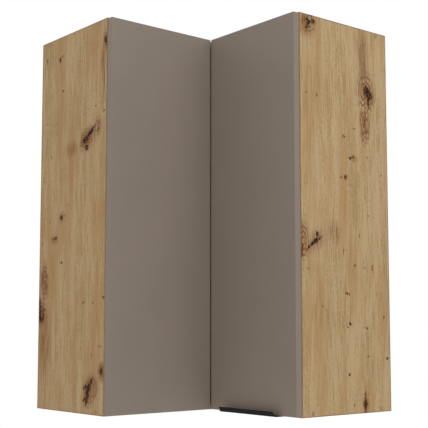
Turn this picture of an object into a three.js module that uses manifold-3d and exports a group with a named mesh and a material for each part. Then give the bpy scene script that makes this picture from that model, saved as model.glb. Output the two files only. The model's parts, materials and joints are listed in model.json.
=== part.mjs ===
// Corner wall cabinet, 600 x 600 x 900 mm, with a folding pair of doors across its inner corner.
//
// Millimetres, +Z up. The origin is the bottom of the room corner that the cabinet hangs in:
// x is the distance from the left wall and y is minus the distance from the back wall.
// Plan positions are written as [u, v]: u from the left wall, v from the back wall.
// The cabinet is alike on both sides of the diagonal, so the left wing's plan is drawn and the
// right wing's is the same plan with u and v exchanged.
import * as THREE from 'three';
import { mergeVertices } from 'three/addons/utils/BufferGeometryUtils.js';
import Module from 'manifold-3d';

const wasm = await Module();
wasm.setup();

// ---------------------------------------------------------------- driving dimensions
const WIDTH = 600;            // along each wall
const HEIGHT = 900;
const BOARD = 16;             // laminated chipboard
const DEPTH = 292;            // of each wing's end panel, without the door
const GAP = 0.3;              // between pieces that touch
const INNER = WIDTH - BOARD;  // inner face of the end panels
const BACK = { thick: 3, inset: 16, groove: 8.3, play: 0.3 };
const SHELF = { setback: 20, play: 1.6, bottoms: [295, 589] };
const POST = { width: 100, thick: BOARD };
const DOOR = { gap: 1, thick: 16, low: 2.5, high: 897.5, outer: 0.5, corner: 1.25 };
const DOOR_BACK = DEPTH + DOOR.gap;
const DOOR_FRONT = DOOR_BACK + DOOR.thick;
const HINGE_HEIGHTS = { lower: 100, upper: 800 };
const SCREW = { head: 4.8, neck: 3.2, shank: 2.4, length: 50, headDeep: 4, play: 0.3 };
const SCREW_ROWS = [35, DEPTH - 33];
const PIN = { radius: 2.5, inBoard: 8, peg: 7, collar: 3.8, collarThick: 1, play: 0.3, spacing: 32 };
const PIN_ROWS = [60, 240];
const BUMPER = { radius: 4, thick: 0.8, heights: [30, 870], fromEdge: 8 };
const HANGER = { back: BACK.inset + BACK.thick + 1, deep: 64, tall: 48, thick: 18, top: HEIGHT - BOARD - 1,
  nose: 12, corner: 4, slot: [14, 36], slotPlay: 1, pocket: 40, screwway: 3, screwUp: 25,
  clearBelow: 8, clearBeside: 6 };
const HOOK = { thick: 3, fromWall: 3, claw: 3.5, drop: 12, step: 8, tail: 34, taper: 2, shoulder: 4 };
const HANDLE = { length: 175, sheet: 1.5, under: 15, out: 9, lip: 11.5,
  screwHole: 1.9, screwIn: 7, screwsAt: [-60, 0, 60] };

// hinge sheet metal: half widths of each layer, measured up and down from the hinge's middle
const LAYER = {
  inner: 5.8,
  arm: [6.3, 7.8],
  outer: [8.3, 9.8],
  lug: [10.3, 11.8],
  stub: 8.1,
};
const PIVOT = { radius: 2, hole: 2.3, eye: 4.2, slimEye: 3.8 };
const PLATE = { back: -22, front: 14, low: GAP, high: 13,
  wingHalf: 8, wingReach: 26, wingThick: 2.5, screw: 16 };
const ARM = { back: -30, low: 3.2, high: 16, flatEnd: 2, shoulder: 14, sheet: 1.5, webStop: 12 };
const CUP = { bore: 17.6, boreDeep: 12.6, outer: 17.1, inner: 16.2, deep: 12.2, floor: 0.9,
  flangeOut: 0.8, flangeIn: 0.1, flange: 18.4, wingReach: 31, wingHalf: 8, screw: 24 };

// ---------------------------------------------------------------- finishes
const finish = (color, roughness, metalness) => new THREE.MeshStandardMaterial({ color, roughness, metalness });
const oak = () => finish('#ae9468', 0.6, 0);
const taupe = () => finish('#7a6f65', 0.55, 0);
const hardboard = () => finish('#e9e6df', 0.7, 0);
const nickel = () => finish('#b9b7b2', 0.35, 1);
const zinc = () => finish('#a8aaab', 0.4, 1);
const blackAnodised = () => finish('#1b1b1c', 0.45, 0.6);
const plastic = () => finish('#dcdad4', 0.5, 0);
const clearGel = () => finish('#e6e6e2', 0.3, 0);

// ---------------------------------------------------------------- solids
// a closed geometry as a solid, with shared corners merged and empty triangles left out
function solid(geometry) {
  const bare = geometry.clone();
  bare.deleteAttribute('normal');
  bare.deleteAttribute('uv');
  const merged = mergeVertices(bare, 1e-4);
  const index = merged.index.array;
  const kept = [];
  for (let i = 0; i < index.length; i += 3) {
    const [a, b, c] = [index[i], index[i + 1], index[i + 2]];
    if (a !== b && b !== c && c !== a) kept.push(a, b, c);
  }
  const vertProperties = new Float32Array(merged.attributes.position.array);
  const triVerts = new Uint32Array(kept);
  return new wasm.Manifold(new wasm.Mesh({ numProp: 3, vertProperties, triVerts }));
}

function geometryOf(body) {
  const mesh = body.getMesh();
  const geometry = new THREE.BufferGeometry();
  geometry.setAttribute('position', new THREE.BufferAttribute(mesh.vertProperties, 3));
  geometry.setIndex(new THREE.BufferAttribute(mesh.triVerts, 1));
  const faceted = geometry.toNonIndexed();
  faceted.computeVertexNormals();
  return faceted;
}

const join = (...bodies) => bodies.reduce((all, one) => all.add(one));
const cut = (body, ...tools) => tools.reduce((rest, tool) => rest.subtract(tool), body);

function block([x0, x1], [y0, y1], [z0, z1]) {
  const geometry = new THREE.BoxGeometry(x1 - x0, y1 - y0, z1 - z0);
  geometry.translate((x0 + x1) / 2, (y0 + y1) / 2, (z0 + z1) / 2);
  return solid(geometry);
}

// a shape drawn in x and y, raised from z0 to z1
function slab(shape, z0, z1, curveSegments = 7) {
  const geometry = new THREE.ExtrudeGeometry(shape, { depth: z1 - z0, bevelEnabled: false, curveSegments });
  geometry.translate(0, 0, z0);
  return solid(geometry);
}

const outline = (points) => new THREE.Shape(points.map(([x, y]) => new THREE.Vector2(x, y)));
const planShape = (points) => outline(points.map(([u, v]) => [u, -v]));

// a round bar from one point to another
function rod(from, to, radius, sides = 16) {
  const run = new THREE.Vector3().subVectors(to, from);
  const geometry = new THREE.CylinderGeometry(radius, radius, run.length(), sides);
  const turn = new THREE.Quaternion().setFromUnitVectors(new THREE.Vector3(0, 1, 0), run.clone().normalize());
  geometry.applyQuaternion(turn);
  const middle = new THREE.Vector3().addVectors(from, to).multiplyScalar(0.5);
  geometry.translate(middle.x, middle.y, middle.z);
  return solid(geometry);
}

const upright = ([x, y], z0, z1, radius, sides) =>
  rod(new THREE.Vector3(x, y, z0), new THREE.Vector3(x, y, z1), radius, sides);

// a turned piece: the profile is radius against distance along +x
function turned(profile, sides) {
  const geometry = new THREE.LatheGeometry(profile.map(([r, x]) => new THREE.Vector2(r, x)), sides);
  geometry.rotateZ(-Math.PI / 2);
  return solid(geometry);
}

function roundedRectangle(x0, x1, y0, y1, radius) {
  const shape = new THREE.Shape();
  shape.absarc(x1 - radius, y1 - radius, radius, 0, Math.PI / 2);
  shape.absarc(x0 + radius, y1 - radius, radius, Math.PI / 2, Math.PI);
  shape.absarc(x0 + radius, y0 + radius, radius, Math.PI, 1.5 * Math.PI);
  shape.absarc(x1 - radius, y0 + radius, radius, 1.5 * Math.PI, 2 * Math.PI);
  shape.closePath();
  return shape;
}

// a bar with round ends about two centres
function capsule([ax, ay], [bx, by], radiusA, radiusB) {
  const angle = Math.atan2(by - ay, bx - ax);
  const shape = new THREE.Shape();
  shape.absarc(ax, ay, radiusA, angle + Math.PI / 2, angle + 1.5 * Math.PI);
  shape.absarc(bx, by, radiusB, angle - Math.PI / 2, angle + Math.PI / 2);
  shape.closePath();
  return shape;
}

// ---------------------------------------------------------------- the assembly
const cabinet = new THREE.Group();
const carcass = new THREE.Group();
const doors = new THREE.Group();
cabinet.add(carcass, doors);

function piece(name, body, material, parent = carcass) {
  const mesh = new THREE.Mesh(geometryOf(body), material);
  mesh.name = name;
  parent.add(mesh);
  return mesh;
}

const asDrawn = ([u, v]) => [u, v];
const exchanged = ([u, v]) => [v, u];
const WINGS = { left: asDrawn, right: exchanged };
const spot = (wing, u, v, z) => {
  const [pu, pv] = WINGS[wing]([u, v]);
  return new THREE.Vector3(pu, -pv, z);
};

// ---------------------------------------------------------------- boards
const screwHeights = [BOARD / 2, HEIGHT - BOARD / 2];
const pinHeight = (bottom) => bottom - GAP - PIN.radius;
// each shelf can be set one hole lower or higher
const pinHoles = SHELF.bottoms.flatMap((bottom) =>
  [-1, 0, 1].map((step) => pinHeight(bottom) + step * PIN.spacing));

// end panel of a wing: grooved for the back, drilled for its screws and shelf pins
function endPanel(wing) {
  const groove = [BACK.inset - BACK.play, BACK.inset + BACK.thick + BACK.play];
  const plan = [
    [0, INNER],
    [groove[0], INNER],
    [groove[0], INNER + BACK.groove],
    [groove[1], INNER + BACK.groove],
    [groove[1], INNER],
    [DEPTH, INNER],
    [DEPTH, WIDTH],
    [0, WIDTH],
  ];
  const tools = [];
  for (const z of screwHeights) {
    for (const u of SCREW_ROWS) {
      const face = WIDTH + 1;
      const seat = WIDTH - SCREW.headDeep - SCREW.play;
      tools.push(rod(spot(wing, u, seat, z), spot(wing, u, face, z), SCREW.head + SCREW.play));
      tools.push(rod(spot(wing, u, INNER - 1, z), spot(wing, u, face, z), SCREW.neck + SCREW.play, 12));
    }
  }
  for (const z of pinHoles) {
    for (const u of PIN_ROWS) {
      const end = INNER + PIN.inBoard + PIN.play;
      tools.push(rod(spot(wing, u, INNER - 1, z), spot(wing, u, end, z), PIN.radius + PIN.play, 10));
    }
  }
  const board = slab(planShape(plan.map(WINGS[wing])), 0, HEIGHT);
  return cut(board, ...tools);
}

// the L of a board between the end panels; rear is its distance from the walls
function cornerPlan(rear, front, end) {
  return [
    [rear, rear],
    [end, rear],
    [end, front],
    [front, front],
    [front, end],
    [rear, end],
  ];
}

// top or bottom: grooved on its inner face for both backs, with pilot holes for the end screws
function capPanel(z0, grooveFrom, grooveTo) {
  const screwAt = z0 + BOARD / 2;
  const near = BACK.inset - BACK.play;
  const far = BACK.inset + BACK.thick + BACK.play;
  const end = INNER + 1;
  const tools = [
    slab(planShape([[near, near], [end, near], [end, far], [near, far]]), grooveFrom, grooveTo),
    slab(planShape([[near, near], [far, near], [far, end], [near, end]]), grooveFrom, grooveTo),
  ];
  for (const wing of Object.keys(WINGS)) {
    for (const u of SCREW_ROWS) {
      const tip = WIDTH - SCREW.length - 1;
      tools.push(rod(spot(wing, u, tip, screwAt), spot(wing, u, end, screwAt), SCREW.shank + SCREW.play, 12));
    }
  }
  const board = slab(planShape(cornerPlan(0, DEPTH, INNER - GAP)), z0, z0 + BOARD);
  return cut(board, ...tools);
}

// shelf: clear of the backs, notched round the rear corner post
function shelf(z0) {
  const rear = BACK.inset + BACK.thick + GAP;
  const plan = cornerPlan(rear, DEPTH - SHELF.setback, INNER - SHELF.play);
  const notch = [
    [rear - 1, rear - 1],
    [rear + POST.width + SHELF.play, rear - 1],
    [rear + POST.width + SHELF.play, rear + POST.thick + SHELF.play],
    [rear - 1, rear + POST.thick + SHELF.play],
  ];
  return cut(slab(planShape(plan), z0, z0 + BOARD), slab(planShape(notch), z0 - 1, z0 + BOARD + 1));
}

// thin back of a wing, held in the grooves, with its top outer corner cut away for the hanger
function backPanel(wing, start) {
  const end = INNER + BACK.groove - 2 * BACK.play;
  const low = BACK.inset;
  const high = BACK.inset + BACK.thick;
  const z0 = BOARD / 2 + BACK.play;
  const z1 = HEIGHT - BOARD / 2 - BACK.play;
  const sheet = slab(planShape([[low, start], [high, start], [high, end], [low, end]].map(WINGS[wing])), z0, z1);
  const notchIn = INNER - HANGER.thick - HANGER.clearBeside;
  const notchLow = HANGER.top - HANGER.tall - HANGER.clearBelow;
  const notch = [[low - 1, notchIn], [high + 1, notchIn], [high + 1, end + 1], [low - 1, end + 1]];
  return cut(sheet, slab(planShape(notch.map(WINGS[wing])), notchLow, z1 + 1));
}

function cornerPost() {
  const rear = BACK.inset + BACK.thick + GAP;
  const plan = [
    [rear, rear],
    [rear + POST.width, rear],
    [rear + POST.width, rear + POST.thick],
    [rear, rear + POST.thick],
  ];
  const front = rear + POST.thick;
  const middle = rear + POST.width / 2;
  const end = front - PIN.inBoard - PIN.play;
  const tools = pinHoles.map((z) =>
    rod(spot('left', middle, end, z), spot('left', middle, front + 1, z), PIN.radius + PIN.play, 10));
  return cut(slab(planShape(plan), BOARD + GAP, HEIGHT - BOARD - GAP), ...tools);
}

piece('left_end_panel', endPanel('left'), oak());
piece('right_end_panel', endPanel('right'), oak());
piece('bottom_panel', capPanel(0, BOARD / 2, BOARD + 1), oak());
piece('top_panel', capPanel(HEIGHT - BOARD, HEIGHT - BOARD - 1, HEIGHT - BOARD / 2), oak());
piece('lower_shelf', shelf(SHELF.bottoms[0]), oak());
piece('upper_shelf', shelf(SHELF.bottoms[1]), oak());
piece('left_back_panel', backPanel('left', BACK.inset + BACK.thick + GAP), hardboard());
piece('right_back_panel', backPanel('right', BACK.inset), hardboard());
piece('rear_corner_post', cornerPost(), oak());

// ---------------------------------------------------------------- screws and shelf pins
// one-piece board screw: countersunk head, plain neck, thinner threaded part and a point
function boardScrew() {
  const { head, neck, shank, length, headDeep } = SCREW;
  return turned([
    [0, 0],
    [head, 0],
    [head, headDeep - 2],
    [neck, headDeep],
    [neck, BOARD - 3],
    [shank, BOARD - 1],
    [shank, length - 4],
    [0, length],
  ], 12);
}

// shelf pin: a peg in the board, a collar against its face and a peg under the shelf
function shelfPin() {
  const { radius, inBoard, collar, collarThick, peg } = PIN;
  return turned([
    [0, -inBoard],
    [radius, -inBoard],
    [radius, GAP],
    [collar, GAP],
    [collar, GAP + collarThick],
    [radius, GAP + collarThick],
    [radius, GAP + peg],
    [0, GAP + peg],
  ], 10);
}

// the direction into the cabinet from each wing's end panel, as a turn from +x
const INWARD = { left: Math.PI / 2, right: Math.PI };
const ROW_NAMES = ['rear', 'front'];
for (const wing of Object.keys(WINGS)) {
  SCREW_ROWS.forEach((u, row) => {
    screwHeights.forEach((z, level) => {
      const name = `${wing}_${ROW_NAMES[row]}_${['bottom', 'top'][level]}_screw`;
      const screw = piece(name, boardScrew(), zinc());
      screw.position.copy(spot(wing, u, WIDTH - GAP, z));
      screw.rotation.z = INWARD[wing];
    });
  });
  PIN_ROWS.forEach((u, row) => {
    SHELF.bottoms.forEach((bottom, level) => {
      const name = `${wing}_${ROW_NAMES[row]}_${['lower', 'upper'][level]}_shelf_pin`;
      const pin = piece(name, shelfPin(), nickel());
      pin.position.copy(spot(wing, u, INNER, pinHeight(bottom)));
      pin.rotation.z = INWARD[wing];
    });
  });
}
SHELF.bottoms.forEach((bottom, level) => {
  const rear = BACK.inset + BACK.thick + GAP;
  const pin = piece(`corner_${['lower', 'upper'][level]}_shelf_pin`, shelfPin(), nickel());
  pin.position.copy(spot('left', rear + POST.width / 2, rear + POST.thick, pinHeight(bottom)));
  pin.rotation.z = -Math.PI / 2;
});

// ---------------------------------------------------------------- wall hangers
// drawn in x (out from the wall) and y (height), then stood up with its thickness along the end panel
function standUp(body) {
  return body.rotate([90, 0, 0]);
}

function hangerHousing() {
  const { back, deep, tall, thick, nose, corner, slot, slotPlay, pocket, screwway, screwUp } = HANGER;
  const front = back + deep;
  const shape = outline([
    [back, 0],
    [front - nose, 0],
    [front, nose],
    [front, tall - corner],
    [front - corner, tall],
    [back, tall],
  ]);
  const body = slab(shape, -thick / 2, thick / 2);
  const room = HOOK.thick / 2 + slotPlay;
  const hollow = block([back - 1, back + pocket], [slot[0] - slotPlay, slot[1] + slotPlay], [-room, room]);
  const bore = rod(new THREE.Vector3(back + HOOK.tail - 1, screwUp, 0),
    new THREE.Vector3(front + 1, screwUp, 0), screwway);
  return standUp(cut(body, hollow, bore));
}

// steel plate with a claw that drops behind the edge of a wall rail
function hangerHook() {
  const { thick, fromWall, claw, drop, step, tail, taper, shoulder } = HOOK;
  const { back, slot: [low, high] } = HANGER;
  const shape = outline([
    [back + tail, low + taper],
    [back + tail, high - taper],
    [fromWall, high],
    [fromWall, low - drop],
    [fromWall + claw, low - drop],
    [fromWall + claw, low + step],
    [back - shoulder, low + step],
    [back, low + taper],
  ]);
  return standUp(slab(shape, -thick / 2, thick / 2));
}

for (const wing of Object.keys(WINGS)) {
  const hanger = new THREE.Group();
  hanger.position.copy(spot(wing, 0, INNER - GAP - HANGER.thick / 2, HANGER.top - HANGER.tall));
  hanger.rotation.z = wing === 'left' ? 0 : -Math.PI / 2;
  carcass.add(hanger);
  piece(`${wing}_hanger_housing`, hangerHousing(), plastic(), hanger);
  piece(`${wing}_hanger_hook`, hangerHook(), zinc(), hanger);
}

// ---------------------------------------------------------------- concealed hinges
// A hinge is drawn in x (along its arm, from the plate's screw line towards the nose) and y (away
// from the face that carries it). The door turns about the centre "axis", which no pin marks: the
// inner link runs from the arm's nose, parallel to the line from the axis to the cup pivot and as
// long as it, and the outer link joins its far end to the cup. Axis, nose, knuckle and cup pivot
// are the corners of a parallelogram, so the linkage turns the cup about the axis exactly.
const knuckleOf = ({ axis, nose, cupPivot }) => [
  nose[0] + cupPivot[0] - axis[0],
  nose[1] + cupPivot[1] - axis[1],
];
const bothSides = ([near, far]) => [[near, far], [-far, -near]];

// base plate: a ridge that the arm straddles, and two wings with screw holes
function mountingPlate() {
  const { back, front, low, high, wingHalf, wingReach, wingThick, screw } = PLATE;
  const ridge = slab(outline([[back, low], [front, low], [front, high - 5], [front - 5, high], [back, high]]),
    -LAYER.inner, LAYER.inner);
  const wings = slab(roundedRectangle(-wingHalf, wingHalf, -wingReach, wingReach, 6), low, low + wingThick, 5);
  const laid = wings.rotate([90, 0, 0]).translate([0, 2 * low + wingThick, 0]);
  const holes = [screw, -screw].map((z) =>
    rod(new THREE.Vector3(0, -1, z), new THREE.Vector3(0, 5, z), 2.6, 12));
  return cut(join(ridge, laid), ...holes);
}

// pressed arm: two cheeks and a web, with the nose pin across the end
function hingeArm({ nose }) {
  const { back, low, high, flatEnd, shoulder, sheet, webStop } = ARM;
  const middle = [flatEnd, (low + high) / 2];
  const lean = Math.atan2(nose[1] - middle[1], nose[0] - middle[0]);
  const tangent = (side) => [
    nose[0] - side * PIVOT.eye * Math.sin(lean),
    nose[1] + side * PIVOT.eye * Math.cos(lean),
  ];
  const upper = tangent(1);
  const cheek = new THREE.Shape();
  cheek.moveTo(back, low);
  cheek.lineTo(shoulder, low);
  cheek.lineTo(...tangent(-1));
  cheek.absarc(nose[0], nose[1], PIVOT.eye, lean - Math.PI / 2, lean + Math.PI / 2);
  cheek.lineTo(flatEnd, high);
  cheek.lineTo(back + 5, high);
  cheek.lineTo(back, high - 4);
  cheek.closePath();
  const cheeks = bothSides(LAYER.arm).map(([z0, z1]) => slab(cheek, z0, z1, 5));
  const slope = Math.hypot(upper[0] - flatEnd, upper[1] - high);
  const share = 1 - webStop / slope;
  const webEnd = [flatEnd + share * (upper[0] - flatEnd), high + share * (upper[1] - high)];
  const web = slab(outline([
    [back + 5, high],
    [back + 5, high - sheet],
    [flatEnd, high - sheet],
    [webEnd[0] + sheet * Math.sin(lean), webEnd[1] - sheet * Math.cos(lean)],
    webEnd,
    [flatEnd, high],
  ]), -LAYER.arm[1], LAYER.arm[1]);
  const slots = [back + 11, back + 25].map((x) =>
    rod(new THREE.Vector3(x, high - 3, 0), new THREE.Vector3(x, high + 3, 0), 3, 14));
  const pin = upright(nose, -LAYER.arm[1], LAYER.arm[1], PIVOT.radius);
  return join(cut(join(web, ...cheeks), ...slots), pin);
}

// cast inner link: a slim bar between two full-width eyes
function innerLink({ nose, knuckle }) {
  const waist = slab(capsule(nose, knuckle, PIVOT.slimEye, PIVOT.slimEye), -LAYER.inner / 2, LAYER.inner / 2, 5);
  const eyes = [nose, knuckle].map((at) => upright(at, -LAYER.inner, LAYER.inner, PIVOT.eye));
  const holes = [nose, knuckle].map((at) => upright(at, -LAYER.lug[1], LAYER.lug[1], PIVOT.hole));
  return cut(join(waist, ...eyes), ...holes);
}

// pressed outer link: two cheeks joined by the knuckle pin, with open eyes for the cup's stubs
function outerLink({ knuckle, cupPivot }) {
  const cheeks = bothSides(LAYER.outer).map(([z0, z1]) =>
    slab(capsule(knuckle, cupPivot, PIVOT.slimEye, PIVOT.slimEye), z0, z1, 5));
  const hole = upright(cupPivot, -LAYER.lug[1], LAYER.lug[1], PIVOT.hole);
  const pin = upright(knuckle, -LAYER.outer[1], LAYER.outer[1], PIVOT.radius);
  return cut(join(...cheeks, pin), hole);
}

// drawn cup with a screw flange, and two lugs whose stubs face each other; +x is into the door
function hingeCup([px, py]) {
  const { outer, inner, deep, floor, flangeOut, flangeIn, flange, wingReach, wingHalf, screw } = CUP;
  const bowl = turned([
    [0, deep - floor],
    [inner, deep - floor],
    [inner, -flangeOut],
    [flange, -flangeOut],
    [flange, -flangeIn],
    [outer, -flangeIn],
    [outer, deep],
    [0, deep],
  ], 24);
  const thick = flangeOut - flangeIn;
  const ears = slab(roundedRectangle(-wingReach, wingReach, -wingHalf, wingHalf, 5), 0, thick, 5)
    .rotate([0, -90, 0]).translate([-flangeIn, 0, 0]);
  const well = rod(new THREE.Vector3(-3, 0, 0), new THREE.Vector3(deep - floor, 0, 0), inner, 24);
  const holes = [screw, -screw].map((z) =>
    rod(new THREE.Vector3(-3, 0, z), new THREE.Vector3(3, 0, z), 2.6, 12));
  const lug = new THREE.Shape();
  lug.absarc(px, py, PIVOT.eye, Math.PI / 2, 1.5 * Math.PI);
  lug.lineTo(deep - floor / 2, py - PIVOT.eye);
  lug.lineTo(deep - floor / 2, py + PIVOT.eye);
  lug.closePath();
  const lugs = bothSides(LAYER.lug).map(([z0, z1]) => slab(lug, z0, z1, 5));
  const stubs = bothSides([LAYER.stub, LAYER.lug[1]]).map(([z0, z1]) =>
    upright([px, py], z0, z1, PIVOT.radius));
  return join(cut(join(cut(ears, well), bowl), ...holes), ...lugs, ...stubs);
}

// the end panel carries the left door; the left door carries the right one
const CORNER = DOOR_FRONT;
const HINGES = {
  side: {
    origin: [DEPTH - 37, INNER],
    turn: 0,
    axis: [53.5, -15],
    nose: [31.5, 27],
    cupPivot: [31.5, 10],
    cupAt: [38, 7],
    cupTurn: 0,
    armOn: 'carcass',
    cupOn: 'left door',
  },
  corner: {
    origin: [DOOR_BACK, 345],
    turn: Math.PI / 2,
    axis: [345 - CORNER, DOOR_BACK - CORNER],
    nose: [65, 13],
    cupPivot: [47.5, -38],
    cupAt: [345 - DOOR_BACK, -38.5],
    cupTurn: Math.PI,
    armOn: 'left door',
    cupOn: 'right door',
  },
};

for (const [kind, spec] of Object.entries(HINGES)) {
  const knuckle = knuckleOf(spec);
  const fromCup = new THREE.Vector2(spec.cupPivot[0] - spec.cupAt[0], spec.cupPivot[1] - spec.cupAt[1]);
  fromCup.rotateAround(new THREE.Vector2(0, 0), -spec.cupTurn);
  for (const [level, z] of Object.entries(HINGE_HEIGHTS)) {
    const hinge = new THREE.Group();
    hinge.position.copy(spot('left', ...spec.origin, z));
    hinge.rotation.z = spec.turn;
    doors.add(hinge);
    const name = (part) => `${level}_${kind}_hinge_${part}`;
    piece(name('plate'), mountingPlate(), nickel(), hinge);
    piece(name('arm'), hingeArm(spec), nickel(), hinge);
    piece(name('inner_link'), innerLink({ ...spec, knuckle }), nickel(), hinge);
    piece(name('outer_link'), outerLink({ ...spec, knuckle }), nickel(), hinge);
    const cup = piece(name('cup'), hingeCup([fromCup.x, fromCup.y]), nickel(), hinge);
    cup.position.set(spec.cupAt[0], spec.cupAt[1], 0);
    cup.rotation.z = spec.cupTurn;
  }
}

// ---------------------------------------------------------------- doors
// a plain flat door, bored for its two hinge cups; cupLine is the cups' distance from the corner walls
function door(wing, cupLine) {
  const plan = [
    [DOOR_BACK, CORNER + DOOR.corner],
    [DOOR_FRONT, CORNER + DOOR.corner],
    [DOOR_FRONT, WIDTH - DOOR.outer],
    [DOOR_BACK, WIDTH - DOOR.outer],
  ];
  const bores = Object.values(HINGE_HEIGHTS).map((z) =>
    rod(spot(wing, DOOR_BACK - 1, cupLine, z), spot(wing, DOOR_BACK + CUP.boreDeep, cupLine, z), CUP.bore, 24));
  return cut(slab(planShape(plan.map(WINGS[wing])), DOOR.low, DOOR.high), ...bores);
}

const leftCupLine = HINGES.side.origin[1] - HINGES.side.cupAt[1];
const rightCupLine = HINGES.corner.origin[0] - HINGES.corner.cupAt[1];
piece('left_door', door('left', leftCupLine), taupe(), doors);
piece('right_door', door('right', rightCupLine), taupe(), doors);

// folded edge handle: a flange screwed under the door and a lip that leans out and up in front of it
function edgeHandle() {
  const { length, sheet, under, out, lip, screwHole, screwIn, screwsAt } = HANDLE;
  const diagonal = sheet * Math.tan(Math.PI / 8);
  const half = sheet / Math.SQRT2;
  const shape = outline([
    [-under, 0],
    [out, 0],
    [out + lip, lip],
    [out + lip - half, lip + half],
    [out - diagonal, sheet],
    [-under, sheet],
  ]);
  const holes = screwsAt.map((along) =>
    rod(new THREE.Vector3(-screwIn, -1, along), new THREE.Vector3(-screwIn, sheet + 1, along), screwHole, 12));
  return cut(slab(shape, -length / 2, length / 2), ...holes);
}

const handle = piece('edge_handle', edgeHandle(), blackAnodised(), doors);
const doorMiddle = (CORNER + DOOR.corner + WIDTH - DOOR.outer) / 2;
handle.position.copy(spot('right', DOOR_FRONT, doorMiddle, DOOR.low - GAP - HANDLE.sheet));
handle.rotation.set(Math.PI / 2, -Math.PI / 2, 0, 'XYZ');

// clear buttons on the right door's back, over the end panel's front edge
BUMPER.heights.forEach((z, level) => {
  const near = DOOR_BACK - DOOR.gap + 0.1;
  const button = rod(spot('right', near, WIDTH - BUMPER.fromEdge, z),
    spot('right', near + BUMPER.thick, WIDTH - BUMPER.fromEdge, z), BUMPER.radius);
  piece(`${['lower', 'upper'][level]}_door_bumper`, button, clearGel(), doors);
});

export default cabinet;
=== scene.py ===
"""Finishes a corner wall cabinet: oak decor boards, folding matt doors, hinges and small hardware.

Run as a script. The construction model is loaded as a fixed frame and every piece rides on one of its bodies.
Metres, with Z up. The origin is the bottom of the room corner: x runs along the back wall, and -y along the
left one.
"""

import json
import math
from collections import namedtuple
from functools import partial

import bmesh
import bpy
from bpy.props import FloatProperty, FloatVectorProperty, PointerProperty
from mathutils import Matrix, Vector

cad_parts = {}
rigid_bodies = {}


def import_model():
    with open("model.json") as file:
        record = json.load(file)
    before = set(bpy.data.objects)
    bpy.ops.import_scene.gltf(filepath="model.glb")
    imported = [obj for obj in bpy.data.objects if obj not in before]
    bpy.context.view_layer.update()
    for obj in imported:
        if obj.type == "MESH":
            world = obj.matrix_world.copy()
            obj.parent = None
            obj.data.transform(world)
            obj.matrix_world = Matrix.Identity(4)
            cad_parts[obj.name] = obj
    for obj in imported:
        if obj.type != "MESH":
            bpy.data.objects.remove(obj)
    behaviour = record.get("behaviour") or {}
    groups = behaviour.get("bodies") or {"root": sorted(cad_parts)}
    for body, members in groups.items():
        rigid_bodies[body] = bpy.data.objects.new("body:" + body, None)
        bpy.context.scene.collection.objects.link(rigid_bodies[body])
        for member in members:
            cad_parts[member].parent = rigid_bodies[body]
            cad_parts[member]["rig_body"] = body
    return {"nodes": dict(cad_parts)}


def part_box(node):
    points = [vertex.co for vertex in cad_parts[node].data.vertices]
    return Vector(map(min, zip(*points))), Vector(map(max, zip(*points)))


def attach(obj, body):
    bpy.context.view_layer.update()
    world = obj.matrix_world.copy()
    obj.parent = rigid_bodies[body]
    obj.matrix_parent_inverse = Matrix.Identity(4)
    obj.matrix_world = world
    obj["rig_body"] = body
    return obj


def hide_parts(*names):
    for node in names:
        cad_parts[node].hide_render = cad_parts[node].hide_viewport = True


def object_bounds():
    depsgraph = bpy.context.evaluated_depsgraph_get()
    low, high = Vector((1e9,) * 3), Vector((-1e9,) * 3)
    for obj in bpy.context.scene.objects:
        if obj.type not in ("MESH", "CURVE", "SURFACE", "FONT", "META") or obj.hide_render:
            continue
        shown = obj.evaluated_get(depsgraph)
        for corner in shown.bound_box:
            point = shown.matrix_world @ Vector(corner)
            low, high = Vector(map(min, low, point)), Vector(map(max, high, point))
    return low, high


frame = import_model()
cad_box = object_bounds()

bl_info = {
    "name": "Corner wall cabinet",
    "version": (1, 0, 0),
    "blender": (4, 5, 0),
    "location": "3D View > Sidebar > Cabinet",
    "description": "Finishes the boards, doors and hardware of a corner wall cabinet",
    "category": "Object",
}

MM = 0.001
ALONG_BACK = Vector((1, 0, 0))
ALONG_LEFT = Vector((0, -1, 0))
UPRIGHT = Vector((0, 0, 1))
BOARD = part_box("bottom_panel")[1].z
PANEL_WIDTH, _, PANEL_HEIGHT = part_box("left_end_panel")[1] / MM
ON_FACE = 0.05 * MM  # a face this near to its node's box is on the node's outside
SEAM = 0.002 * MM    # vertices this close are one
COPLANAR = math.radians(0.5)


def linear(code):
    """The linear colour, with alpha, of an sRGB hex value."""
    shares = [int(code[i : i + 2], 16) / 255 for i in (1, 3, 5)]
    return tuple(s / 12.92 if s <= 0.04045 else ((s + 0.055) / 1.055) ** 2.4 for s in shares) + (1.0,)


# ---------------------------------------------------------------- settings
def colour(name, description, code):
    """A colour setting, from an sRGB hex value."""
    return FloatVectorProperty(
        name=name, description=description, subtype="COLOR", size=4, min=0, max=1, default=linear(code)
    )


def length(name, description, millimetres):
    """A length setting, from millimetres."""
    return FloatProperty(name=name, description=description, unit="LENGTH", min=0, default=millimetres * MM)


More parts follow.
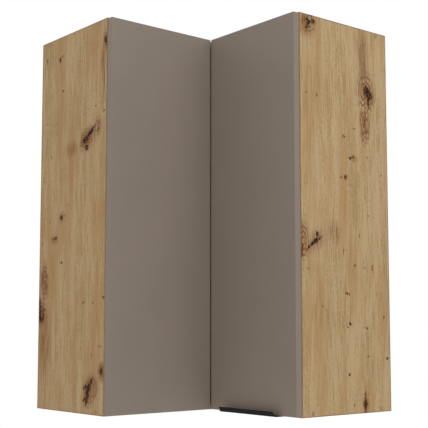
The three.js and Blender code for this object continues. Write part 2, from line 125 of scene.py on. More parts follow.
class BoardSettings(bpy.types.PropertyGroup):
    """Oak decor boards, backs and cover caps."""

    arris: length("Board arris", "Radius that the edge bands are trimmed to", 0.3)
    light: colour("Oak light", "Early wood of the printed oak", "#af9772")
    dark: colour("Oak dark", "Late wood of the printed oak", "#987d56")
    honey: colour("Oak honey", "Warm patches of the printed oak", "#9e7b51")
    # the haze colour also tints the line of painted shade along the end panels' edges
    haze: colour("Knot haze", "Brown wood round the knots", "#6e4322")
    knot: colour("Knot", "Heart of the small knots", "#381e0c")
    crack: colour("Crack", "Open cracks and black knots", "#110905")
    back_face: colour("Back face", "Lacquered side of the backs", "#e4e1da")
    back_rear: colour("Back rear", "Bare side of the backs", "#8a6746")
    chip_dark: colour("Chip dark", "Darkest flakes of the raw chipboard", "#8d6f4c")
    chip_light: colour("Chip light", "Lightest flakes of the raw chipboard", "#c3a67c")
    cap: colour("Cover cap", "Plastic caps over the board screws", "#8e7a5b")
    cap_radius: length("Cap radius", "Radius of the cover caps", 5.2)
    cap_height: length("Cap height", "How far the cover caps stand off the panel", 0.6)


class DoorSettings(bpy.types.PropertyGroup):
    """Doors, handle and bumpers."""

    arris: length("Door arris", "Radius of the doors' edge bands", 0.4)
    face: colour("Door face", "Matt laminate of the doors", "#7b6f64")
    handle: colour("Handle", "Dyed oxide of the handle", "#0c0c0d")
    handle_length: length("Handle length", "Length of the handle's fold", 189)
    handle_reach: length("Handle reach", "How far the handle's lip stands out from the doors", 22)
    handle_rise: length("Handle rise", "Height of the handle's lip above its fold", 11)
    bumper: colour("Bumper", "Clear door bumpers", "#f0f0ec")


class HardwareSettings(bpy.types.PropertyGroup):
    """Hinges, screws, pins and wall hangers."""

    edge_break: length("Edge break", "Rounding of pressed and cast metal edges", 0.2)
    nickel: colour("Nickel", "Plating of the hinges and pins", "#c8c3b9")
    zinc: colour("Zinc", "Plating of the screws and hooks", "#b6babd")
    plastic: colour("Plastic", "Moulded hanger housings", "#e0ded8")
    head: length("Screw head", "Radius of the pan-head screws", 3.6)
    rise: length("Head height", "Height of the pan-head screws' heads", 1.3)


class StageSettings(bpy.types.PropertyGroup):
    """Floor, light and camera."""

    floor_drop: length("Floor drop", "Floor below the cabinet's underside", 1400)
    floor: colour("Floor", "Pale floor", "#f2f2f0")
    glow: FloatProperty(name="Floor glow", description="Lifts the seen floor to white", min=0, default=0.45)
    ambient: FloatProperty(name="Ambient", description="Level of the light all round", min=0, default=0.72)
    key: FloatProperty(name="Key", description="Power of the soft side light", unit="POWER", default=35.5)
    fill: FloatProperty(name="Fill", description="Power of the soft front light", unit="POWER", default=24.8)
    lamp: length("Lamp size", "Diameter of both soft lights", 2400)
    position: FloatVectorProperty(
        name="Camera", description="Place of the camera", subtype="TRANSLATION", unit="LENGTH",
        default=(2132.61 * MM, -1807.11 * MM, 197.99 * MM),
    )
    yaw: FloatProperty(
        name="Yaw", description="Camera's turn from -X towards +Y", subtype="ANGLE", default=0.691
    )
    pitch: FloatProperty(
        name="Pitch", description="Camera's tilt upwards", subtype="ANGLE", default=math.radians(5.52)
    )
    lens: FloatProperty(name="Lens", description="Focal length for a picture 36 mm wide", default=82.67551)
    rise: FloatProperty(name="Rise", description="Lens shift, as a share of the picture", default=0.04)


# ---------------------------------------------------------------- materials
SMOOTH = {"interpolation_type": "SMOOTHSTEP"}
TINT = {"data_type": "RGBA"}
FLAT = {"noise_dimensions": "2D"}


def add_node(tree, kind, inputs=(), **settings):
    """Adds a node with its settings, then gives its inputs values or links.

    inputs is a dict by socket name, or a sequence for the sockets in use. A node given as a value stands
    for its first output in use.
    """
    node = tree.nodes.new("ShaderNode" + kind)
    for key, value in settings.items():
        setattr(node, key, value)
    in_use = [socket for socket in node.inputs if socket.enabled]
    for socket, value in inputs.items() if isinstance(inputs, dict) else zip(in_use, inputs):
        socket = node.inputs[socket] if isinstance(socket, str) else socket
        if isinstance(value, bpy.types.Node):
            value = next(output for output in value.outputs if output.enabled)
        if isinstance(value, bpy.types.NodeSocket):
            tree.links.new(value, socket)
        else:
            socket.default_value = value
    return node


def blank(name):
    """A new material, a function that adds nodes to its empty tree, and the place on the piece in mm."""
    material = bpy.data.materials.new(name)
    material.use_nodes = True
    material.node_tree.nodes.clear()
    add = partial(add_node, material.node_tree)
    here = add("TexCoord").outputs["Object"]
    return material, add, add("VectorMath", {"Vector": here, "Scale": 1 / MM}, operation="SCALE")


def dimmed(tint, share):
    """A colour at a share of its brightness."""
    return [channel * share for channel in tint[:3]] + [1.0]


# A mark of the printed oak, in millimetres along and above the panel, turned in degrees. A figure is the
# marks of one panel, how much painted light brightens its whole print, and how much warmer its print is.
Mark = namedtuple("Mark", "across height wide tall turn", defaults=(0,))
Figure = namedtuple("Figure", "pins flecks cracks hazes eyes glows lighter warmer", defaults=(0.0, 0.0))


def placed(*rows):
    """Marks, from rows of their values."""
    return tuple(Mark(*row) for row in rows)


LEFT_FIGURE = Figure(
    pins=placed(
        (24, 853, 5, 9), (85, 844, 9, 12), (101, 764, 8, 4), (49, 609, 5, 5), (258, 647, 6, 10),
        (282, 686, 5, 4), (14, 554, 5, 4), (101, 456, 12, 11), (78, 408, 8, 8), (105, 348, 8, 5),
        (287, 262, 8, 6), (286, 850, 10, 20), (281, 98, 12, 20),
    ),
    flecks=placed(
        (97, 851, 9, 4), (277, 822, 4, 4), (28, 694, 5, 3), (71, 689, 6, 3), (262, 661, 6, 10),
        (245, 703, 7, 3, -20), (274, 761, 4, 3), (289, 709, 4, 3), (117, 460, 7, 3), (48, 449, 5, 3),
        (67, 407, 18, 5), (13, 397, 6, 3), (66, 324, 7, 3), (203, 252, 11, 4, 30), (243, 250, 6, 3),
        (241, 133, 4, 3), (34, 292, 5, 30, 6), (18, 318, 5, 26, -8), (273, 153, 14, 3),
    ),
    cracks=placed(
        (221, 641, 50, 9, 33), (204, 629, 24, 14, 10), (209, 611, 11, 12), (7, 236, 9, 50, 4),
        (12, 215, 18, 13, -20), (22, 226, 6, 28, 8), (236, 66, 7, 32, -28), (225, 46, 12, 42, -14),
        (217, 61, 16, 8, 20), (215, 33, 14, 7, 25),
    ),
    hazes=placed(
        (215, 632, 84, 62, 22), (143, 616, 58, 44), (276, 780, 22, 210), (286, 848, 26, 56),
        (68, 404, 44, 26), (24, 300, 46, 104), (16, 225, 58, 84), (28, 160, 72, 190),
        (228, 50, 54, 84, -15), (256, 62, 36, 56), (282, 98, 34, 46), (101, 456, 26, 34),
    ),
    eyes=placed(
        (27, 304, 34, 84), (14, 228, 52, 62), (288, 850, 26, 44), (283, 98, 32, 46), (212, 634, 66, 44, 25),
        (258, 655, 30, 50), (236, 54, 50, 70, -15),
    ),
    glows=placed(
        (92, 690, 46, 500), (140, 570, 46, 240), (56, 300, 40, 300), (266, 240, 40, 320),
        (24, 130, 60, 280),
    ),
    # painted light: the whole print of this panel is a little brighter, for the light that falls on its side
    lighter=0.014,
    warmer=0.12,
)
RIGHT_FIGURE = Figure(
    pins=placed(
        (152, 634, 7, 6), (147, 539, 10, 10), (130, 585, 7, 8), (25, 554, 5, 5), (71, 455, 4, 4),
        (103, 407, 4, 5), (120, 337, 5, 4), (148, 272, 7, 5), (137, 203, 9, 7, 30), (81, 194, 5, 7),
        (21, 219, 5, 5), (12, 122, 6, 5, 25), (142, 89, 6, 4, -20), (127, 19, 4, 5), (287, 372, 5, 12),
        (241, 403, 10, 11), (89, 20, 14, 22),
    ),
    flecks=placed(
        (272, 720, 7, 3, -20), (239, 718, 7, 5), (116, 656, 5, 4), (161, 537, 6, 4), (71, 593, 5, 5),
        (102, 547, 5, 2), (85, 332, 5, 3), (60, 333, 4, 13), (271, 324, 8, 3), (157, 367, 3, 16),
        (140, 271, 5, 4), (226, 242, 4, 4), (145, 196, 8, 4, 15), (78, 128, 5, 4), (89, 38, 6, 22),
        (89, 4, 8, 14), (120, 588, 14, 5), (92, 690, 4, 34, 8), (75, 655, 7, 14), (79, 676, 6, 20),
    ),
    cracks=placed(
        (262, 885, 7, 38, 24), (250, 886, 13, 9), (262, 888, 14, 11), (64, 751, 32, 11, 50),
        (57, 742, 11, 14), (76, 750, 7, 22, -14), (65, 729, 6, 28), (70, 744, 14, 10),
        (257, 381, 38, 5, -40), (243, 387, 30, 5, -32), (290, 362, 4, 16),
    ),
    hazes=placed(
        (84, 834, 46, 186, -9), (80, 790, 46, 90), (70, 742, 62, 74), (78, 670, 38, 88),
        (268, 873, 60, 66, 20), (250, 386, 84, 54, -32), (188, 408, 46, 66), (115, 584, 34, 20),
        (284, 392, 40, 96), (89, 24, 24, 62),
    ),
    eyes=placed(
        (78, 668, 38, 88), (74, 748, 64, 92), (285, 384, 30, 80), (264, 886, 44, 60),
    ),
    glows=placed(
        (266, 650, 50, 520), (236, 200, 60, 380), (150, 520, 36, 300), (132, 300, 44, 260),
    ),
    # painted light: the whole print of this panel is brighter, for the light that falls on its side
    lighter=0.03,
)
NO_FIGURE = Figure((), (), (), (), (), ())

# The print's layers: width and height of their patches in millimetres, detail, and share in the tone. Real
# pores are 0.3 mm wide: to show, they are drawn at 0.5 mm in the relief, and in the tone as 2.4 mm ticks.
GRAIN = {
    "clouds": (60, 260, 2, 0.14),
    "bands": (16, 360, 2, 0.16),
    "streaks": (5, 120, 3, 0.16),
    "fibres": (2.2, 60, 2, 0.34),
    "ticks": (2.4, 8, 1, 0.2),
    "warmth": (34, 260, 3, 0),
    "pores": (0.5, 14, 1, 0),
}
RINGS = 3.5  # from an eye's heart to its outline: fewer than in real wood, so that they show
DRIFT = 24   # millimetres that the grain wanders over, from side to side
RAGGED = 11  # millimetres that the outlines of knots wander over


def marked(add, place, mark):
    """Distance from a mark's heart, where 1 is the mark's outline."""
    heart, turn = (mark.across, mark.height, 0), (0, 0, math.radians(mark.turn))
    half = (mark.wide / 2, mark.tall / 2, 1)
    local = add("Mapping", (place, heart, turn, half), vector_type="TEXTURE")
    return add("VectorMath", (local,), operation="LENGTH")


def nearest(add, place, marks):
    """Distance from the nearest of several marks."""
    found = marked(add, place, marks[0])
    for mark in marks[1:]:
        found = add("Math", (found, marked(add, place, mark)), operation="MINIMUM")
    return found


def stained(add, wood, tint, *shares):
    """The wood, tinted by the product of two shares."""
    share = add("Math", shares, operation="MULTIPLY")
    return add("Mix", (share, wood, tint), **TINT)


def knotted(add, wood, flat, layers, figure):
    """The wood with its figure: warm bands, hazes, rings round the knots, small knots, flecks and cracks."""
    look = bpy.context.scene.cabinet_boards
    jitter = add("TexNoise", {"Vector": flat, "Scale": 0.22, "Detail": 2}, **FLAT).outputs["Color"]
    centred = add("VectorMath", (jitter, (0.5, 0.5, 0.5)), operation="SUBTRACT")
    ragged = add("VectorMath", (centred, (RAGGED, RAGGED, 0), flat), operation="MULTIPLY_ADD")
    strokes = add("VectorMath", (flat, (1 / 4, 1 / 9, 0)), operation="MULTIPLY")
    stroke = add("TexNoise", {"Vector": strokes, "Scale": 1, "Detail": 1}, **FLAT)

    near_glow = add("MapRange", (nearest(add, flat, figure.glows), 1.2, 0.2), **SMOOTH)
    patchy = add("MapRange", (layers["streaks"], 0.36, 0.64, 0.85, 0.3), **SMOOTH)
    wood = stained(add, wood, look.honey, near_glow, patchy)

    near_haze = add("MapRange", (nearest(add, flat, figure.hazes), 1.3, 0.1), **SMOOTH)
    uneven = add("Math", (stroke, 0.3, layers["fibres"]), operation="MULTIPLY_ADD")
    broken = add("MapRange", (uneven, 0.54, 0.76, 0.72, 0.26), **SMOOTH)
    wood = stained(add, wood, look.haze, near_haze, broken)

    eye = nearest(add, flat, figure.eyes)
    wavy = add("Math", (layers["streaks"], 0.7, eye), operation="MULTIPLY_ADD")
    phase = add("Math", (wavy, RINGS * 2 * math.pi), operation="MULTIPLY")
    ring = add("MapRange", (add("Math", (phase,), operation="SINE"), -0.1, 0.6), **SMOOTH)
    near_eye = add("MapRange", (eye, 1.3, 0.7, 0, 0.85), **SMOOTH)
    wood = stained(add, wood, look.haze, ring, near_eye)

    # each kind of mark: the distances at which its tint starts and is full, its strength in the strokes and
    # between them, and the tint
    steps = (
        (figure.flecks, 1.6, 0.6, 0.9, 0.7, look.haze),
        (figure.pins, 1.8, 0.6, 0.85, 0.6, look.haze),
        (figure.cracks, 2.1, 0.9, 0.85, 0.55, look.haze),
        (figure.pins, 1.1, 0.6, 1.0, 0.8, look.knot),
        (figure.cracks, 1.25, 0.9, 1.0, 0.5, look.crack),
    )
    kinds = (figure.flecks, figure.pins, figure.cracks)
    distances = {marks: nearest(add, ragged, marks) for marks in kinds}
    for marks, start, full, strength, between, tint in steps:
        reach = add("MapRange", (distances[marks], start, full), **SMOOTH)
        force = add("MapRange", (stroke, 0.5, 0.58, strength, between), **SMOOTH)
        wood = stained(add, wood, tint, reach, force)
    return wood


def sprinkled(add, wood, flat):
    """The wood with a small dark knot here and there."""
    # cells of 90 by 150 mm, of which about half hold a knot
    seeds = add("VectorMath", (flat, (1 / 90, 1 / 150, 0)), operation="MULTIPLY")
    cells = add("TexVoronoi", {"Vector": seeds, "Scale": 1}, voronoi_dimensions="2D")
    chance = add("SeparateColor", (cells.outputs["Color"],))
    size = add("MapRange", (chance, 0.55, 1.0, -0.05, 0.045), **SMOOTH)
    depth = add("Math", (cells, size), operation="SUBTRACT")
    look = bpy.context.scene.cabinet_boards
    for outer, inner, strength, tint in ((0.05, -0.01, 0.55, look.haze), (0.008, -0.015, 0.9, look.knot)):
        spot = add("MapRange", (depth, outer, inner, 0, strength), **SMOOTH)
        wood = add("Mix", (spot, wood, tint), **TINT)
    return wood


def painted_edge_shade(add, wood, width, height):
    """An end panel's wood with a fine line of painted shade just inside its outline, along its edges."""
    insets = []
    for at, full in ((width, PANEL_WIDTH), (height, PANEL_HEIGHT)):
        off_middle = add("Math", (at, full / 2), operation="SUBTRACT")
        apart = add("Math", (off_middle,), operation="ABSOLUTE")
        insets.append(add("Math", (full / 2, apart), operation="SUBTRACT"))
    inset = add("Math", insets, operation="MINIMUM")
    # painted shade: up to 55 % of the haze colour, in a line from 3 to 1.4 mm inside the outline
    line = add("MapRange", (inset, 3.0, 1.4, 0, 0.55), **SMOOTH)
    return add("Mix", (line, wood, bpy.context.scene.cabinet_boards.haze), **TINT)


def oak_decor(name, across, along, start=(0, 0), figure=NO_FIGURE):
    """Melamine-faced chipboard, printed with knotty oak and embossed: matt, finely grained, olive to honey.

    across and along are the directions of the print's width and of its grain, and start is where on the
    print the board is cut, in millimetres.
    """
    look = bpy.context.scene.cabinet_boards
    material, add, place = blank(name)
    width = add("VectorMath", (place, across), operation="DOT_PRODUCT")
    height = add("VectorMath", (place, along), operation="DOT_PRODUCT")
    flat = add("CombineXYZ", (width, height))
    cut = add("VectorMath", (flat, (*start, 0)), operation="ADD")

    # the grain runs along the board, and wanders slowly from side to side
    slow = add("VectorMath", (cut, (1 / 90, 1 / 380, 0)), operation="MULTIPLY")
    drift = add("TexNoise", {"Vector": slow, "Scale": 1, "Detail": 3}, **FLAT)
    shift = add("CombineXYZ", (add("Math", (drift, DRIFT), operation="MULTIPLY"),))
    run = add("VectorMath", (cut, shift), operation="ADD")
    layers = {}
    # the tone starts at the figure's painted light, which brightens the whole panel's print
    tone = figure.lighter
    for layer, (wide, tall, detail, share) in GRAIN.items():
        sized = add("VectorMath", (run, (1 / wide, 1 / tall, 0)), operation="MULTIPLY")
        layers[layer] = add("TexNoise", {"Vector": sized, "Scale": 1, "Detail": detail}, **FLAT)
        if share:
            tone = add("Math", (layers[layer], share, tone), operation="MULTIPLY_ADD")
    early = add("MapRange", (tone, 0.435, 0.565), **SMOOTH)
    wood = add("Mix", (early, look.dark, look.light), **TINT)
    warm = add("MapRange", (layers["warmth"], 0.46, 0.7, figure.warmer, 0.5 + figure.warmer), **SMOOTH)
    wood = add("Mix", (warm, wood, look.honey), **TINT)

    if figure.pins:
        # the end panels also get a line of painted shade along their edges
        wood = painted_edge_shade(add, knotted(add, wood, flat, layers, figure), width, height)
    else:
        wood = sprinkled(add, wood, cut)

    relief = add("Math", (layers["fibres"], 0.5, layers["pores"]), operation="MULTIPLY_ADD")
    bump = add("Bump", {"Height": relief, "Strength": 0.5, "Distance": 0.1 * MM})
    rough = add("MapRange", (tone, 0.35, 0.65, 0.64, 0.54), **SMOOTH)
    print_film = {"Base Color": wood, "Roughness": rough, "Specular IOR Level": 0.08, "Normal": bump}
    add("OutputMaterial", (add("BsdfPrincipled", print_film),))
    return material


def chipboard():
    """Raw chipboard in bores, grooves and cut edges: pressed flakes, dry and rough, straw to brown."""
    look = bpy.context.scene.cabinet_boards
    material, add, place = blank("raw_chipboard")
    flakes = add("TexVoronoi", {"Vector": place, "Scale": 1 / 1.8})
    kind = add("SeparateColor", (flakes.outputs["Color"],))
    wood = add("Mix", (kind, look.chip_dark, look.chip_light), **TINT)
    bump = add("Bump", {"Height": flakes, "Strength": 0.4, "Distance": 0.3 * MM})
    shader = add("BsdfPrincipled", {"Base Color": wood, "Roughness": 0.85, "Normal": bump})
    add("OutputMaterial", (shader,))
    return material


def plain_finish(name, tint, darkest, clouds, relief, rough, bump, **sockets):
    """A finish of one tint, which clouds darken a little, over a fine relief that breaks up its gloss.

    clouds and relief are the size of a noise's patches in millimetres along x, y and z, and its detail;
    rough is the roughness's range, and bump the relief's strength and its height in millimetres.
    """
    material, add, place = blank(name)
    noises = {}
    for pattern in dict.fromkeys((clouds, relief)):
        *size, detail = pattern
        sized = add("VectorMath", (place, [1 / side for side in size]), operation="MULTIPLY")
        noises[pattern] = add("TexNoise", {"Vector": sized, "Scale": 1, "Detail": detail})
    uneven = add("MapRange", (noises[clouds], 0.3, 0.7), **SMOOTH)
    sockets["Base Color"] = add("Mix", (uneven, dimmed(tint, darkest), tint), **TINT)
    sockets["Roughness"] = add("MapRange", (noises[relief], 0.3, 0.7, *rough), **SMOOTH)
    height = {"Height": noises[relief], "Strength": bump[0], "Distance": bump[1] * MM}
    sockets["Normal"] = add("Bump", height)
    add("OutputMaterial", (add("BsdfPrincipled", sockets),))
    return material


def matt_laminate():
    """Matt taupe laminate and its ABS bands: an even colour with a dry, very finely embossed surface."""
    # the embossing is 0.2 mm fine, drawn at 0.9 mm so that it shows
    return plain_finish(
        "matt_taupe_laminate", bpy.context.scene.cabinet_doors.face, 0.95, clouds=(160, 160, 160, 3),
        relief=(0.9, 0.9, 0.9, 2), rough=(0.54, 0.66), bump=(0.35, 0.05),
    )


def hardboard_face():
    """White lacquer rolled on hardboard: slightly uneven gloss over an orange-peel film."""
    return plain_finish(
        "lacquered_hardboard", bpy.context.scene.cabinet_boards.back_face, 0.95, clouds=(120, 120, 120, 2),
        relief=(1.6, 1.6, 1.6, 2), rough=(0.38, 0.5), bump=(0.4, 0.04),
    )


def hardboard_rear():
    """Bare pressed hardboard: brown felted fibre, with the weave of the press screen."""
    bare = bpy.context.scene.cabinet_boards.back_rear
    material, add, place = blank("bare_hardboard")
    fibre = add("TexNoise", {"Vector": place, "Scale": 1 / 2.2, "Detail": 4})
    cloud = add("TexNoise", {"Vector": place, "Scale": 1 / 70, "Detail": 3})
    # the screen's mesh is 1 mm, drawn at 2.5 mm so that it shows; the wave repeats 20 / 2 pi times a unit
    mesh = 2 * math.pi / (20 * 2.5)
    wires = [
        add("TexWave", {"Vector": place, "Scale": mesh}, bands_direction=way).outputs["Fac"]
        for way in ("DIAGONAL", "Z")
    ]
    weave = add("Math", wires, operation="MULTIPLY")
    tone = add("Math", (fibre, 1.5, cloud), operation="MULTIPLY_ADD")
    uneven = add("MapRange", (tone, 0.65, 1.85), **SMOOTH)
    tint = add("Mix", (uneven, dimmed(bare, 0.62), bare), **TINT)
    height = add("Math", (weave, fibre), operation="ADD")
    bump = add("Bump", {"Height": height, "Strength": 0.5, "Distance": 0.12 * MM})
    shader = add("BsdfPrincipled", {"Base Color": tint, "Roughness": 0.8, "Normal": bump})
    add("OutputMaterial", (shader,))
    return material


def nickel_plate():
    """Bright nickel on pressed and cast steel: warm, satin, with fine tumbling marks."""
    # the marks are 0.2 mm wide, drawn at 0.8 mm so that they show
    return plain_finish(
        "nickel_plated_steel", bpy.context.scene.cabinet_hardware.nickel, 0.86, clouds=(9, 9, 9, 2),
        relief=(0.8, 6, 0.8, 3), rough=(0.22, 0.36), bump=(0.3, 0.02), Metallic=1,
    )


def zinc_plate():
    """Passivated zinc on steel: cooler and duller than nickel, faintly clouded."""
    return plain_finish(
        "zinc_plated_steel", bpy.context.scene.cabinet_hardware.zinc, 0.82, clouds=(5, 5, 5, 4),
        relief=(5, 5, 5, 4), rough=(0.34, 0.5), bump=(0.3, 0.03), Metallic=1,
    )


def black_anodised():
    """Aluminium sheet, black anodised: a dyed oxide skin, dead matt, with faint rolling lines along it."""
    # the lines are 0.1 mm apart, drawn at 0.35 mm so that they show
    return plain_finish(
        "black_anodised_aluminium", bpy.context.scene.cabinet_doors.handle, 0.8, clouds=(60, 0.35, 0.35, 2),
        relief=(60, 0.35, 0.35, 2), rough=(0.5, 0.62), bump=(0.4, 0.02), **{"Specular IOR Level": 0.06},
    )


def moulded_plastic(name, tint, gloss=0.5):
    """Injection-moulded ABS: an even colour with a fine spark-eroded texture."""
    # the texture is 0.1 mm fine, drawn at 0.6 mm so that it shows
    return plain_finish(
        name, tint, 0.94, clouds=(14, 14, 14, 2), relief=(0.6, 0.6, 0.6, 2), rough=(0.42, 0.54),
        bump=(0.3, 0.03), **{"Specular IOR Level": gloss},
    )


def clear_gel():
    """Cast clear polyurethane: soft, glassy and slightly milky."""
    gel = bpy.context.scene.cabinet_doors.bumper
    material, add, place = blank("clear_polyurethane")
    film = add("TexNoise", {"Vector": place, "Scale": 1 / 1.5, "Detail": 2})
    tint = add("Mix", (film, dimmed(gel, 0.95), gel), **TINT)
    rough = add("MapRange", (film, 0.3, 0.7, 0.12, 0.22), **SMOOTH)
    glassy = {"Base Color": tint, "Roughness": rough, "Transmission Weight": 0.85, "IOR": 1.49}
    add("OutputMaterial", (add("BsdfPrincipled", glassy),))
    return material


# ---------------------------------------------------------------- pieces
CURVED = math.radians(42)  # facets that meet at less than this are one curved face

# The radius and length of a screw's shank in millimetres, then, where it isn't a pan-head screw of the
# settings, the radius and height of its head
SCREWS = {
    "back": (1.6, 2.5),
    "hanger": (1.8, 10),
    "plate": (2.2, 2.4),
    "cup": (2.2, 0.7),
    "handle": (1.5, 1.7, 3.1, 0.5),
    "setting": (2.3, 20, 2.7, 1.0),
    "clamp": (2.4, 2.5, 4.2, 1.6),
    "side": (2.3, 2.3, 2.7, 0.6),
}


def put(name, data):
    """A new object in the scene."""
    thing = bpy.data.objects.new(name, data)
    bpy.context.scene.collection.objects.link(thing)
    return thing


def formed(bm, name, finishes):
    """A new object in the scene from a bmesh, which is freed."""
    mesh = bpy.data.meshes.new(name)
    bm.to_mesh(mesh)
    bm.free()
    for finish in finishes:
        mesh.materials.append(finish)
    return put(name, mesh)


def settle(bm, name, body, finishes, smooth=True):
    """Makes a bmesh a finished piece: shaded, on its body and finishes."""
    for face in bm.faces:
        face.smooth = smooth
    for edge in bm.edges:
        edge.smooth = edge.is_manifold and edge.calc_face_angle(0) < CURVED
    piece = formed(bm, name, finishes)
    if smooth:
        weighted = piece.modifiers.new("even_shading", "WEIGHTED_NORMAL")
        weighted.keep_sharp = True
    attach(piece, body)
    return piece


def break_edges(bm, radius, steps=2, least_length=0.0, clamp=True):
    """Rounds the sharp edges of a solid."""
    edges = [
        edge for edge in bm.edges
        if edge.is_manifold and edge.calc_face_angle(0) > CURVED and edge.calc_length() > least_length
    ]
    bmesh.ops.bevel(bm, geom=edges, offset=radius, affect="EDGES", segments=steps, profile=0.5, material=-1,
                    clamp_overlap=clamp)


def body_of(node):
    """The name of the body that carries a node."""
    return frame["nodes"][node]["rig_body"]


def dressed(node, finishes, radius, choose=None, smooth=True, **edges):
    """A finished copy of a CAD node, which it replaces.

    choose gives a face's place in finishes, from the face, the axis that it looks along, and whether it is
    on the outside of the node's box.
    """
    bm = bmesh.new()
    bm.from_mesh(frame["nodes"][node].data)
    bmesh.ops.remove_doubles(bm, verts=bm.verts, dist=SEAM)
    bmesh.ops.dissolve_limit(bm, angle_limit=COPLANAR, verts=bm.verts, edges=bm.edges)
    if choose:
        low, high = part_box(node)
        for face in bm.faces:
            axis = max(range(3), key=lambda i: abs(face.normal[i]))
            at = face.calc_center_median()[axis]
            outside = min(abs(at - low[axis]), abs(at - high[axis])) < ON_FACE
            face.material_index = choose(face, axis, outside)
    break_edges(bm, radius, **edges)
    piece = settle(bm, node + "_finished", body_of(node), finishes, smooth)
    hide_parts(node)
    return piece


def turned(profile, steps=32):
    """Spins a profile of (radius, height) points about the Z axis into a closed solid."""
    bm = bmesh.new()
    verts = [bm.verts.new((radius, 0, height)) for radius, height in profile]
    edges = [bm.edges.new(pair) for pair in zip(verts, verts[1:])]
    bmesh.ops.spin(bm, geom=verts + edges, cent=(0, 0, 0), axis=(0, 0, 1), angle=2 * math.pi, steps=steps,
                   use_merge=True)
    bmesh.ops.remove_doubles(bm, verts=bm.verts, dist=SEAM)
    bmesh.ops.recalc_face_normals(bm, faces=bm.faces)
    return bm


def pulled(bm, edges, scale, rise):
    """Extrudes a loop about the Z axis, scaled in plan and moved in height, and gives the new loop."""
    made = bmesh.ops.extrude_edge_only(bm, edges=edges)["geom"]
    verts = [item for item in made if isinstance(item, bmesh.types.BMVert)]
    bmesh.ops.scale(bm, vec=(scale, scale, 1), verts=verts)
    bmesh.ops.translate(bm, vec=(0, 0, rise), verts=verts)
    fresh = set(verts)
    return [item for item in made if isinstance(item, bmesh.types.BMEdge) and fresh.issuperset(item.verts)]


def cross_screw(kind):
    """A screw seated on Z = 0: domed rim, cross recess, and a plain shank below."""
    look = bpy.context.scene.cabinet_hardware
    shank, deep, *own = (size * MM for size in SCREWS[kind])
    head, rise = own or (look.head, look.rise)
    bm = bmesh.new()
    crown = 0.76 * head
    bmesh.ops.create_circle(bm, segments=24, radius=crown)
    rim = bm.edges[:]
    reach, half = 0.52 * head, 0.12 * head
    corners = []
    for quarter in range(4):
        turn = Matrix.Rotation(quarter * math.pi / 2, 3, "Z")
        for corner in ((reach, -half, 0), (reach, half, 0), (half, half, 0)):
            corners.append(bm.verts.new(turn @ Vector(corner)))
    cross = [bm.edges.new(pair) for pair in zip(corners, corners[1:] + corners[:1])]
    bmesh.ops.translate(bm, vec=(0, 0, rise), verts=bm.verts)
    bmesh.ops.triangle_fill(bm, edges=bm.edges[:], use_beauty=True)
    bmesh.ops.edgeloop_fill(bm, edges=pulled(bm, cross, 0.5, -0.8 * rise))
    # from the crown over the rim to the seat, in to the shank, and down to its end
    radius = crown
    for wider, drop in (
        (0.93 * head, 0.2 * rise), (head, 0.35 * rise), (head, 0.45 * rise),
        (shank, 0), (shank, deep),
    ):
        rim = pulled(bm, rim, wider / radius, -drop)
        radius = wider
    bmesh.ops.edgeloop_fill(bm, edges=rim)
    bmesh.ops.recalc_face_normals(bm, faces=bm.faces)
    return bm


def stood(bm, at, way):
    """Moves a bmesh from the origin to a place, with its Z axis turned to a direction."""
    turn = UPRIGHT.rotation_difference(way).to_matrix().to_4x4()
    bmesh.ops.transform(bm, matrix=Matrix.Translation(at) @ turn, verts=bm.verts)
    return bm


def gathered(parts):
    """One bmesh that holds several, which are freed."""
    whole = bmesh.new()
    for part in parts:
        mesh = bpy.data.meshes.new("part")
        part.to_mesh(mesh)
        part.free()
        whole.from_mesh(mesh)
        bpy.data.meshes.remove(mesh)
    return whole


def driven(name, body, finish, screws):
    """One piece of several screws, each given by its kind, its place and the way that its head faces."""
    parts = [stood(cross_screw(kind), at, way) for kind, at, way in screws]
    settle(gathered(parts), name, body, [finish])


def middle_of(node):
    """The middle of a node's box."""
    low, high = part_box(node)
    return (low + high) / 2


def face_of(node, way):
    """How far a node reaches in a direction."""
    return max(corner.dot(way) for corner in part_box(node))


def moved_to(point, way, reach):
    """A point moved along a direction until it is as far out as reach."""
    return point + way * (reach - point.dot(way))


# ---------------------------------------------------------------- operators
class CABINET_OT_boards(bpy.types.Operator):
    """Finish the end panels, bottom, top, shelves and rear post in oak decor"""

    bl_idname = "cabinet.boards"
    bl_label = "Boards"

    def execute(self, context):
        arris = context.scene.cabinet_boards.arris
        # only the outlines are trimmed: the edges of bores and grooves' ends are shorter
        trimmed = {"least_length": 20 * MM, "clamp": False, "smooth": False}
        raw = chipboard()
        wings = {
            "left": (ALONG_BACK, ALONG_LEFT, (0, 0), LEFT_FIGURE),
            "right": (ALONG_LEFT, ALONG_BACK, (730, 410), RIGHT_FIGURE),
        }
        for wing, (across, outward, start, figure) in wings.items():
            finishes = [
                oak_decor(f"oak_decor_{wing}_end", across, UPRIGHT, start, figure),
                oak_decor(f"oak_band_{wing}", outward, UPRIGHT),
                oak_decor(f"oak_band_{wing}_level", outward, across),
                raw,
            ]

            def choose(face, axis, outside, outward=outward):
                if not outside:
                    return 3
                return 0 if outward[axis] else 2 if UPRIGHT[axis] else 1

            dressed(f"{wing}_end_panel", finishes, arris, choose, **trimmed)

        face = oak_decor("oak_decor_level", ALONG_LEFT, ALONG_BACK, (260, 900))
        band = oak_decor("oak_band_front", UPRIGHT, ALONG_BACK + ALONG_LEFT)

        def choose(face, axis, outside):
            if UPRIGHT[axis]:
                return 0 if outside else 2
            heights = [vert.co.z for vert in face.verts]
            return 1 if max(heights) - min(heights) > BOARD - ON_FACE else 2

        for node in ("bottom_panel", "top_panel", "lower_shelf", "upper_shelf"):
            dressed(node, [face, band, raw], arris, choose, **trimmed)

        post = oak_decor("oak_decor_post", ALONG_BACK + ALONG_LEFT, UPRIGHT, (90, 1300))
        dressed("rear_corner_post", [post], arris, **trimmed)
        return {"FINISHED"}


